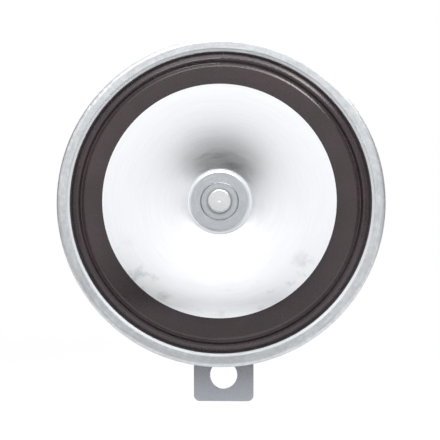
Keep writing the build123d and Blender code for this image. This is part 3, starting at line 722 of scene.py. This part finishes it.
class HORN_OT_terminals(bpy.types.Operator):
    """Finish the terminals, their insulator and the adjusting screw"""

    bl_idname = "horn.terminals"
    bl_label = "Terminals and screw"

    def execute(self, context):
        colours = context.scene.horn_colours
        # Unfilled nylon: milky white with a soft shine.
        nylon = moulded("natural nylon", colours.nylon, 0.38, 0.5, grain_mm=0.8)
        dress(nylon, "terminal_insulator")
        plated = copper_plate("copper plate", colours.copper, crease_mm=2.0)
        dress(plated, "upper_terminal", "lower_terminal")
        # The rivet heads are clenched last, which bares their metal; their copper is also lighter
        # as a painted highlight on the heads.
        bared = copper_plate("bare copper rivet", linear("#E9B792"), tarnished=0.5)
        dress(bared, "terminal_rivets")
        dress(rubbed_black("rubbed black steel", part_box("screw_bush")[1].y), "screw_bush")
        # Painted shade and dirt: the screw's slot is darkened by ambient occlusion.
        worn = barrel_plated_steel(
            "worn screw steel", linear("#A89DA2"), 0.38, dull=0.5, crease_mm=1.4
        )
        dress(worn, "adjusting_screw")
        return {"FINISHED"}


class HORN_OT_works(bpy.types.Operator):
    """Finish the magnet, the contact breaker, the leads and the resistor"""

    bl_idname = "horn.works"
    bl_label = "Magnet and breaker"

    def execute(self, context):
        colours = context.scene.horn_colours
        sizes = context.scene.horn_sizes
        # Glass-filled nylon: dark, dry, speckled with fibre.
        dark = linear("#2B2D30")
        filled = moulded("glass-filled nylon", dark, 0.45, 0.6, grain_mm=0.4, speck=0.3)
        dress(filled, "coil_bobbin")
        # Phenolic paper board: brown, with a coarse fibre.
        dress(
            moulded("phenolic board", linear("#7A4A26"), 0.4, 0.55, grain_mm=0.5, speck=0.4),
            "inner_insulator",
            "rear_contact_insulator",
            "middle_contact_insulator",
            "front_contact_insulator",
        )
        # Rolled bronze strip: golden brown, unevenly tarnished.
        dress(
            copper_plate("spring bronze", linear("#C99A5B")),
            "moving_contact_arm",
            "fixed_contact_arm",
            "contact_rivets",
        )
        # Tungsten: grey, sintered, hardly polished.
        dress(
            barrel_plated_steel("sintered tungsten", linear("#9B9C9F"), 0.45),
            "moving_contact_tip",
            "fixed_contact_tip",
        )
        # Silicone sleeve over the leads: dull red-brown.
        dress(
            moulded("silicone sleeve", linear("#7B2A22"), 0.45, 0.6, grain_mm=0.4),
            "supply_lead",
            "breaker_lead",
            "earth_lead",
        )
        # Cement over a ceramic rod: chalky, with a fine grit.
        cement = moulded("cement ceramic", linear("#D8D3C4"), 0.65, 0.8, grain_mm=0.3, speck=0.2)
        dress(cement, "suppression_resistor")
        enamel = wound_enamel(colours.wire)
        dress(enamel, "coil_winding")
        run = COIL_HIGH.y - COIL_LOW.y - sizes.wire_diameter
        outer = (COIL_HIGH.x - COIL_LOW.x) / 2
        turns = grown(
            "wound_wire",
            helix_tree("wound wire", sizes.wire_sides),
            {
                "Turns": run / sizes.wire_diameter,
                "Radius": outer,
                "Start": COIL_LOW.y + sizes.wire_diameter / 2,
                "Run": run,
                "Section": sizes.wire_diameter / 2,
                "Axis Height": AXIS_Z,
                "Finish": enamel,
            },
        )
        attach(turns, "horn")
        return {"FINISHED"}


def sheet_object(name, corners, material):
    """Flat sheet of the studio, from its corners."""
    mesh = bpy.data.meshes.new(name)
    mesh.from_pydata(corners, [], [(0, 1, 2, 3)])
    mesh.materials.append(material)
    sheet = bpy.data.objects.new(name, mesh)
    bpy.context.scene.collection.objects.link(sheet)
    return sheet


def level_corners(across, away, height):
    """Corners of a level sheet from its reach in x and y."""
    (left, right), (front, back) = across, away
    return [(x, y, height) for x, y in ((left, front), (right, front), (right, back), (left, back))]


def grey_card(name, corners, albedo):
    """Card that only reflections see."""
    matt = bpy.data.materials.new(name)
    matt.use_nodes = True
    tree = matt.node_tree
    tree.nodes.clear()
    grey = add(tree, "ShaderNodeBsdfDiffuse", {"Color": (albedo,) * 3}).outputs[0]
    add(tree, "ShaderNodeOutputMaterial", {"Surface": grey})
    card = sheet_object(name, corners, matt)
    card.visible_camera = False
    card.visible_diffuse = False
    card.visible_shadow = False


def face_point(thing, place, point):
    """Stand a lamp or a camera at a place, turned to a point."""
    thing.location = place
    thing.rotation_euler = (Vector(point) - Vector(place)).to_track_quat("-Z", "Y").to_euler()
    bpy.context.scene.collection.objects.link(thing)


def soft_lamp(name, place, size, watts):
    """Area lamp that faces the middle of the rim."""
    panel = bpy.data.lights.new(name, "AREA")
    panel.shape = "RECTANGLE"
    panel.size, panel.size_y = size
    panel.energy = watts
    face_point(bpy.data.objects.new(name, panel), place, (0, RIM_FRONT, AXIS_Z))


def background_rays(tree):
    """1 for rays that should see the plain white studio: camera, glossy and transmission rays."""
    path = add(tree, "ShaderNodeLightPath").outputs
    seen = maths(tree, "MAXIMUM", path["Is Camera Ray"], path["Is Glossy Ray"])
    return maths(tree, "MAXIMUM", seen, path["Is Transmission Ray"])


class HORN_OT_stage(bpy.types.Operator):
    """Set up the white studio, its cards, lamps and camera"""

    bl_idname = "horn.stage"
    bl_label = "Studio"

    def execute(self, context):
        scene = context.scene
        sizes = scene.horn_sizes
        world = bpy.data.worlds.new("white studio")
        world.use_nodes = True
        scene.world = world
        tree = world.node_tree
        tree.nodes.clear()
        around = mix(tree, background_rays(tree), ROOM_GREY, WHITE)
        plain = add(tree, "ShaderNodeBackground", {"Color": around, "Strength": 1.0})
        add(tree, "ShaderNodeOutputWorld", {"Surface": plain.outputs[0]})

        floor_z = CAD_BOX[0][2] - sizes.floor_drop
        floor = bpy.data.materials.new("white paper sweep")
        floor.use_nodes = True
        tree = floor.node_tree
        tree.nodes.clear()
        paper = add(tree, "ShaderNodeBsdfDiffuse", {"Color": PAPER_GREY}).outputs[0]
        glow = add(tree, "ShaderNodeEmission", {"Color": WHITE, "Strength": 1.0}).outputs[0]
        coords = add(tree, "ShaderNodeTexCoord").outputs["Object"]
        away = add(tree, "ShaderNodeVectorMath", {0: coords}, operation="LENGTH").outputs["Value"]
        fade = span(tree, away, GLOW_NEAR, 1.0, GLOW_FROM, GLOW_FULL_AT)
        white = maths(tree, "MULTIPLY", background_rays(tree), fade)
        both = add(tree, "ShaderNodeMixShader", {0: white, 1: paper, 2: glow}).outputs[0]
        add(tree, "ShaderNodeOutputMaterial", {"Surface": both})
        reach = (-FLOOR_REACH, FLOOR_REACH)
        sheet_object("floor", level_corners(reach, reach, floor_z), floor)

        # Dark cards seen only in reflections give the metal its grey tones: a wide one on the floor
        # in front, a small one close to the disc that darkens the dish above its middle, and two on
        # each side that darken the walls and slopes facing sideways.
        low = floor_z + CARD_LIFT
        grey_card("floor_card", level_corners((-0.6, 0.15), (-0.42, -0.12), low), albedo=0.3)
        # Tilted so that the disc's lower edge sees it edge-on.
        left, right = -0.05, 0.02
        near, far = (-0.062, 0.0235), (-0.12, 0.0285)
        dish = [(left, *far), (right, *far), (right, *near), (left, *near)]
        grey_card("dish_card", dish, albedo=0.02)
        for x, side in ((-FLAG_OUT, "left"), (FLAG_OUT, "right")):
            for part, front, back in (("front", -0.5, -0.32), ("side", -0.14, 0.5)):
                foot = [(x, front, low), (x, back, low)]
                head = [(x, back, FLAG_TOP), (x, front, FLAG_TOP)]
                grey_card(f"{side}_{part}_flag", foot + head, albedo=0.25)

        soft_lamp("overhead softbox", (-0.08, -0.42, 0.78), size=(1.0, 0.7), watts=1.5)
        soft_lamp("left softbox", (-0.85, -0.45, 0.2), size=(0.5, 0.8), watts=0.6)
        soft_lamp("strip light", (0.1, -0.22, 0.55), size=(0.7, 0.14), watts=3.6)
        soft_lamp("rear softbox", (0.25, 0.6, 0.6), size=(0.8, 0.6), watts=3.4)

        eye = bpy.data.cameras.new("camera")
        eye.lens = sizes.lens
        camera = bpy.data.objects.new("camera", eye)
        away = sizes.camera_distance
        stand = (away * tan(CAMERA_ASIDE), RIM_FRONT - away, AXIS_Z - away * tan(CAMERA_BELOW))
        face_point(camera, stand, (0, RIM_FRONT, AXIS_Z - AIM_BELOW_AXIS))
        scene.camera = camera
        scene.view_settings.view_transform = "Standard"
        return {"FINISHED"}


class HORN_PT_panel(bpy.types.Panel):
    """Lists the horn's steps"""

    bl_idname = "HORN_PT_panel"
    bl_label = "Disc Horn"
    bl_space_type = "VIEW_3D"
    bl_region_type = "UI"
    bl_category = "Disc Horn"

    def draw(self, context):
        for step in STEPS:
            self.layout.operator(step.bl_idname)
        for group in (context.scene.horn_sizes, context.scene.horn_colours):
            box = self.layout.box()
            for key in group.bl_rna.properties.keys():
                if key not in ("rna_type", "name"):
                    box.prop(group, key)


STEPS = (
    HORN_OT_stage,
    HORN_OT_rim,
    HORN_OT_sounding,
    HORN_OT_strap,
    HORN_OT_terminals,
    HORN_OT_works,
)
CLASSES = (HornColours, HornSizes, *STEPS, HORN_PT_panel)


def register():
    for each in CLASSES:
        bpy.utils.register_class(each)
    bpy.types.Scene.horn_colours = PointerProperty(type=HornColours)
    bpy.types.Scene.horn_sizes = PointerProperty(type=HornSizes)


def unregister():
    del bpy.types.Scene.horn_sizes
    del bpy.types.Scene.horn_colours
    for each in reversed(CLASSES):
        bpy.utils.unregister_class(each)


def main():
    register()
    for step in STEPS:
        group, action = step.bl_idname.split(".")
        getattr(getattr(bpy.ops, group), action)()


if __name__ == "__main__":
    main()
